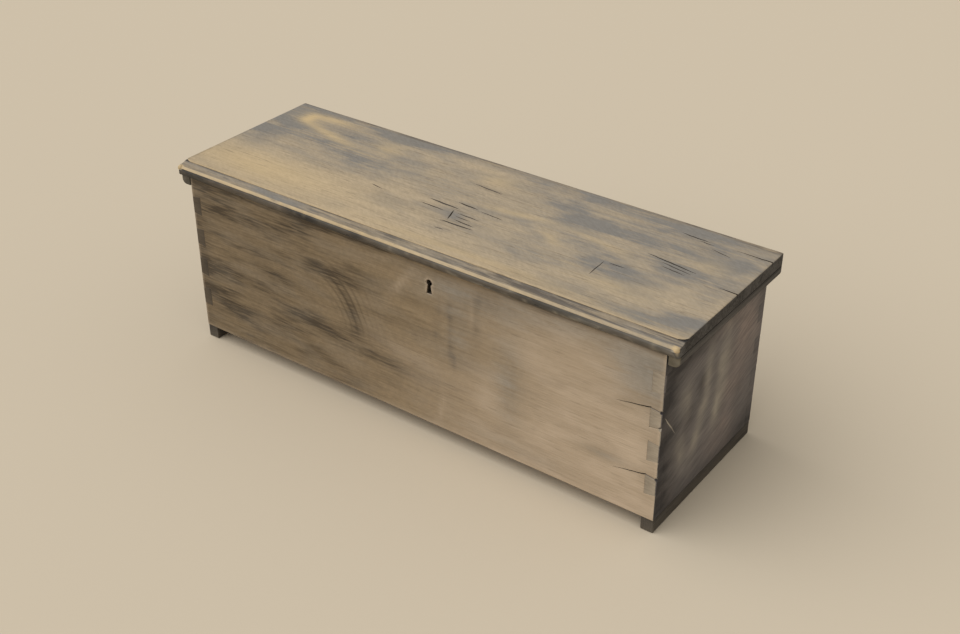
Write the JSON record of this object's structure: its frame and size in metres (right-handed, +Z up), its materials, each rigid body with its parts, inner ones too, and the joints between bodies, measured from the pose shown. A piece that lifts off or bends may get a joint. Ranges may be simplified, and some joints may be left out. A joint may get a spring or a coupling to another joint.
{
  "type": "blanket chest",
  "caption": "Long, low dovetailed wooden chest on end runners, with a hinged one-board lid, moulded front edge, end cleats and an inside lock behind a plain keyhole.",
  "frame": {"origin": "on the floor under the middle of the whole chest, lid nose to hinge barrels", "axes": "+X right along the front, front faces -Y, +Z up"},
  "size_m": [1.252, 0.4264, 0.444],
  "materials": {
    "lid_wood": "old pine, dry and worn",
    "cleat_wood": "old pine, dark",
    "front_board_wood": "old pine, brown stain worn thin",
    "end_board_wood": "old pine, dark brown",
    "back_board_wood": "old pine, brown",
    "bottom_wood": "bare pine",
    "runner_wood": "old pine, dark and scuffed",
    "hinge_iron": "dark forged iron",
    "lock_iron": "dark wrought iron",
    "screw_iron": "dark iron",
    "nail_iron": "rusted cut iron"
  },
  "bodies": {
    "case": {"front_board": "front_board_wood", "back_board": "back_board_wood", "left_end_board": "end_board_wood", "right_end_board": "end_board_wood", "front_bottom_board": "bottom_wood", "back_bottom_board": "bottom_wood", "left_runner": "runner_wood", "right_runner": "runner_wood", "bottom_nails": "nail_iron", "runner_nails": "nail_iron", "left_hinge_case_leaf": "hinge_iron", "left_hinge_pin": "hinge_iron", "right_hinge_case_leaf": "hinge_iron", "right_hinge_pin": "hinge_iron", "hinge_case_screws": "screw_iron", "lock_plate": "lock_iron", "lock_case": "lock_iron", "lock_spring": "lock_iron", "lock_drill_pin": "lock_iron", "lock_screws": "screw_iron"},
    "lid": {"lid_board": "lid_wood", "left_cleat": "cleat_wood", "right_cleat": "cleat_wood", "cleat_screws": "screw_iron", "left_hinge_lid_leaf": "hinge_iron", "right_hinge_lid_leaf": "hinge_iron", "hinge_lid_screws": "screw_iron", "link_plate": "lock_iron", "link_staple": "lock_iron", "link_screws": "screw_iron"},
    "lock_bolt": {"lock_bolt": "lock_iron"}
  },
  "joints": [
    {"name": "lid_hinge", "type": "hinge", "parent": "case", "child": "lid", "pos_m": [0, 0.20875, 0.416], "axis": [-1, 0, 0], "range_deg": [0, 105]},
    {"name": "bolt_slide", "type": "slide", "parent": "case", "child": "lock_bolt", "axis": [1, 0, 0], "range_m": [0, 0.01]}
  ]
}
